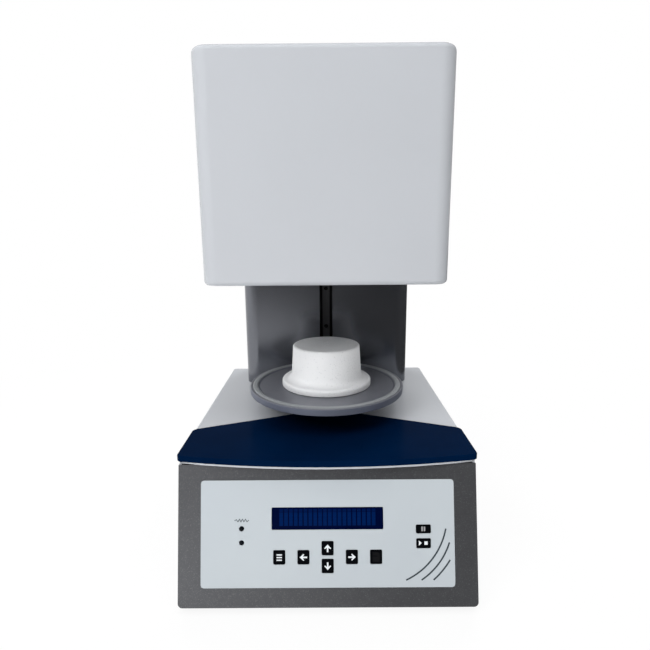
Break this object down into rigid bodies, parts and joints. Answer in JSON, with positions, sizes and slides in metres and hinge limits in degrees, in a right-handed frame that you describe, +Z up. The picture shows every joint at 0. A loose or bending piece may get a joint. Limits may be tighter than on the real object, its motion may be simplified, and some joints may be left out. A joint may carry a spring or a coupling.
{
  "type": "dental laboratory firing furnace",
  "caption": "Dental ceramic furnace: a screw-driven arm in a slotted column lifts a round table and its firing plug into a quartz-lined heated chamber in the head, above a sloped keypad base.",
  "frame": {"origin": "on the floor, under the middle of the whole box, from the front cover's lip to the tip of the rear hose port", "axes": "+Z up, -Y to the front with the keypad, +X to the right as seen from the front"},
  "size_m": [0.306, 0.3652, 0.5381],
  "materials": {
    "white_paint": "gloss powder coat",
    "navy_gloss": "deep gloss",
    "grey_metallic": "speckled metallic paint",
    "column_grey": "satin metallic paint",
    "label_film": "satin film",
    "display_blue": "clear gloss over a dark blue display",
    "key_black": "satin",
    "lamp_clear": "tinted gloss lens",
    "board_green": "solder mask",
    "black_plastic": "moulded",
    "steel": "zinc plated or machined",
    "dark_steel": "oiled",
    "aluminium": "machined",
    "table_grey": "satin grey anodised",
    "bronze": "machined",
    "copper": "drawn or wound copper",
    "rubber": "moulded",
    "silicone": "smooth light grey",
    "ceramic_fibre": "pressed fibre, matt white",
    "quartz": "clear",
    "heater_wire": "oxidised"
  },
  "bodies": {
    "furnace": {"base_housing": "white_paint", "base_plate": "steel", "chamber_can": "steel", "chamber_lid": "steel", "column_back": "column_grey", "column_cover": "column_grey", "column_frame": "dark_steel", "control_panel": "grey_metallic", "display_module": "black_plastic", "display_window": "display_blue", "foot_1": "rubber", "foot_2": "rubber", "foot_3": "rubber", "foot_4": "rubber", "front_cover": "navy_gloss", "guide_rail": "dark_steel", "head_cover": "white_paint", "head_floor": "steel", "heat_sink": "aluminium", "heating_coil": "heater_wire", "heating_lamp": "lamp_clear", "keypad_board": "board_green", "lift_motor": "dark_steel", "lower_bearing": "steel", "main_board": "board_green", "mains_inlet": "black_plastic", "muffle_collar": "ceramic_fibre", "muffle_insulation": "ceramic_fibre", "panel_label": "label_film", "pump_outlet": "black_plastic", "quartz_liner": "quartz", "rail_screw_1": "dark_steel", "rail_screw_2": "dark_steel", "rail_screw_3": "dark_steel", "switch_housing": "black_plastic", "thermocouple": "ceramic_fibre", "transformer_coil": "copper", "transformer_core": "dark_steel", "upper_bearing": "steel", "upper_insulation": "ceramic_fibre", "vacuum_lamp": "lamp_clear", "vacuum_line": "copper", "vacuum_port": "aluminium"},
    "lift": {"lift_arm": "dark_steel", "rail_carriage": "aluminium", "lift_nut": "bronze", "lift_table": "table_grey", "seal_ring": "silicone"},
    "plug": {"firing_plug": "ceramic_fibre"},
    "screw": {"lead_screw": "steel", "motor_coupling": "aluminium"},
    "rocker": {"switch_rocker": "black_plastic"},
    "key_text_cap": {"key_text": "key_black"},
    "key_left_cap": {"key_left": "key_black"},
    "key_up_cap": {"key_up": "key_black"},
    "key_down_cap": {"key_down": "key_black"},
    "key_right_cap": {"key_right": "key_black"},
    "key_enter_cap": {"key_enter": "key_black"},
    "key_pause_cap": {"key_pause": "key_black"},
    "key_start_cap": {"key_start": "key_black"}
  },
  "joints": [
    {"name": "table_lift", "type": "slide", "parent": "furnace", "child": "lift", "axis": [0, 0, 1], "range_m": [0, 0.135]},
    {"name": "plug_lift_off", "type": "slide", "parent": "lift", "child": "plug", "axis": [0, 0, 1], "range_m": [0, 0.012]},
    {"name": "screw_spin", "type": "hinge", "parent": "furnace", "child": "screw", "pos_m": [0.03, 0.09375, 0.2], "axis": [0, 0, 1], "range_deg": [-6080, 10]},
    {"name": "rocker_tilt", "type": "hinge", "parent": "furnace", "child": "rocker", "pos_m": [-0.066, 0.15585, 0.045], "axis": [1, 0, 0], "range_deg": [0, 16]},
    {"name": "key_text_press", "type": "slide", "parent": "furnace", "child": "key_text_cap", "axis": [0, 0.969, -0.247], "range_m": [0, 0.0004], "stiffness_N_per_m": 2500},
    {"name": "key_left_press", "type": "slide", "parent": "furnace", "child": "key_left_cap", "axis": [0, 0.969, -0.247], "range_m": [0, 0.0004], "stiffness_N_per_m": 2500},
    {"name": "key_up_press", "type": "slide", "parent": "furnace", "child": "key_up_cap", "axis": [0, 0.969, -0.247], "range_m": [0, 0.0004], "stiffness_N_per_m": 2500},
    {"name": "key_down_press", "type": "slide", "parent": "furnace", "child": "key_down_cap", "axis": [0, 0.969, -0.247], "range_m": [0, 0.0004], "stiffness_N_per_m": 2500},
    {"name": "key_right_press", "type": "slide", "parent": "furnace", "child": "key_right_cap", "axis": [0, 0.969, -0.247], "range_m": [0, 0.0004], "stiffness_N_per_m": 2500},
    {"name": "key_enter_press", "type": "slide", "parent": "furnace", "child": "key_enter_cap", "axis": [0, 0.969, -0.247], "range_m": [0, 0.0004], "stiffness_N_per_m": 2500},
    {"name": "key_pause_press", "type": "slide", "parent": "furnace", "child": "key_pause_cap", "axis": [0, 0.969, -0.247], "range_m": [0, 0.0004], "stiffness_N_per_m": 2500},
    {"name": "key_start_press", "type": "slide", "parent": "furnace", "child": "key_start_cap", "axis": [0, 0.969, -0.247], "range_m": [0, 0.0004], "stiffness_N_per_m": 2500}
  ],
  "couplings": [
    {"joint": "screw_spin", "follows": "table_lift", "rad_per_m": -785.4}
  ]
}
